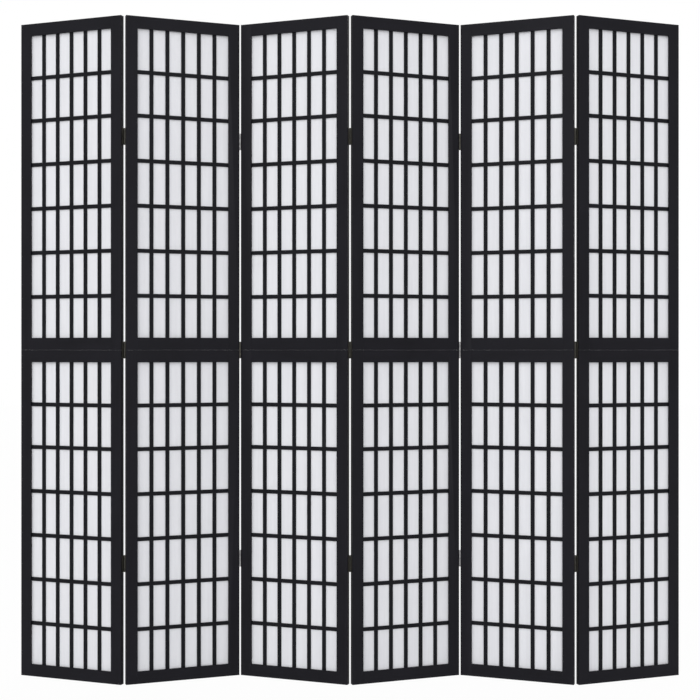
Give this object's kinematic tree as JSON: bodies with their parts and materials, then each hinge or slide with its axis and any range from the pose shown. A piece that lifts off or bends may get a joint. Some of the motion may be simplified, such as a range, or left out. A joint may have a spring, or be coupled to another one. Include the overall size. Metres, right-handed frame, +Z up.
{
  "type": "shoji folding screen",
  "caption": "Tall folding screen of white paper panels behind a black wooden lattice, hinged edge to edge so that it stands in a zig-zag and folds flat like an accordion.",
  "frame": {"origin": "on the floor under the middle of the standing screen, at the bottom centre of its bounding box in the zig-zag shown", "axes": "+Z up, +X along the screen from the viewer's left to right, -Y towards the viewer, whom the lattice side faces"},
  "size_m": [2.0232, 0.1364, 2],
  "materials": {
    "frame_lacquer": "satin black lacquer",
    "lattice_lacquer": "satin black lacquer",
    "paper": "matt white rice paper with fine fibres",
    "hinge_metal": "blackened antique brass",
    "pin_metal": "blackened antique brass"
  },
  "bodies": {
    "panel_1": {"panel_1_stiles": "frame_lacquer", "panel_1_rails": "frame_lacquer", "panel_1_vertical_bars": "lattice_lacquer", "panel_1_cross_bars": "lattice_lacquer", "panel_1_paper": "paper", "panel_1_beads": "frame_lacquer", "panel_1_hinge_leaves": "hinge_metal", "hinge_line_1_pins": "pin_metal"},
    "panel_2": {"panel_2_stiles": "frame_lacquer", "panel_2_rails": "frame_lacquer", "panel_2_vertical_bars": "lattice_lacquer", "panel_2_cross_bars": "lattice_lacquer", "panel_2_paper": "paper", "panel_2_beads": "frame_lacquer", "panel_2_hinge_leaves": "hinge_metal", "hinge_line_2_pins": "pin_metal"},
    "panel_3": {"panel_3_stiles": "frame_lacquer", "panel_3_rails": "frame_lacquer", "panel_3_vertical_bars": "lattice_lacquer", "panel_3_cross_bars": "lattice_lacquer", "panel_3_paper": "paper", "panel_3_beads": "frame_lacquer", "panel_3_hinge_leaves": "hinge_metal", "hinge_line_3_pins": "pin_metal"},
    "panel_4": {"panel_4_stiles": "frame_lacquer", "panel_4_rails": "frame_lacquer", "panel_4_vertical_bars": "lattice_lacquer", "panel_4_cross_bars": "lattice_lacquer", "panel_4_paper": "paper", "panel_4_beads": "frame_lacquer", "panel_4_hinge_leaves": "hinge_metal", "hinge_line_4_pins": "pin_metal"},
    "panel_5": {"panel_5_stiles": "frame_lacquer", "panel_5_rails": "frame_lacquer", "panel_5_vertical_bars": "lattice_lacquer", "panel_5_cross_bars": "lattice_lacquer", "panel_5_paper": "paper", "panel_5_beads": "frame_lacquer", "panel_5_hinge_leaves": "hinge_metal", "hinge_line_5_pins": "pin_metal"},
    "panel_6": {"panel_6_stiles": "frame_lacquer", "panel_6_rails": "frame_lacquer", "panel_6_vertical_bars": "lattice_lacquer", "panel_6_cross_bars": "lattice_lacquer", "panel_6_paper": "paper", "panel_6_beads": "frame_lacquer", "panel_6_hinge_leaves": "hinge_metal"}
  },
  "joints": [
    {"name": "hinge_line_3", "type": "hinge", "parent": "panel_3", "child": "panel_4", "pos_m": [0, -0.05087, 0.99999], "axis": [0, 0, 1], "range_deg": [-40.6, 139.4]},
    {"name": "hinge_line_2", "type": "hinge", "parent": "panel_3", "child": "panel_2", "pos_m": [-0.33789, 0.05087, 0.99999], "axis": [0, 0, 1], "range_deg": [-40.6, 139.4]},
    {"name": "hinge_line_1", "type": "hinge", "parent": "panel_2", "child": "panel_1", "pos_m": [-0.67577, -0.05087, 0.99999], "axis": [0, 0, -1], "range_deg": [-40.6, 139.4]},
    {"name": "hinge_line_4", "type": "hinge", "parent": "panel_4", "child": "panel_5", "pos_m": [0.33789, 0.05087, 0.99999], "axis": [0, 0, -1], "range_deg": [-40.6, 139.4]},
    {"name": "hinge_line_5", "type": "hinge", "parent": "panel_5", "child": "panel_6", "pos_m": [0.67577, -0.05087, 0.99999], "axis": [0, 0, 1], "range_deg": [-40.6, 139.4]}
  ]
}
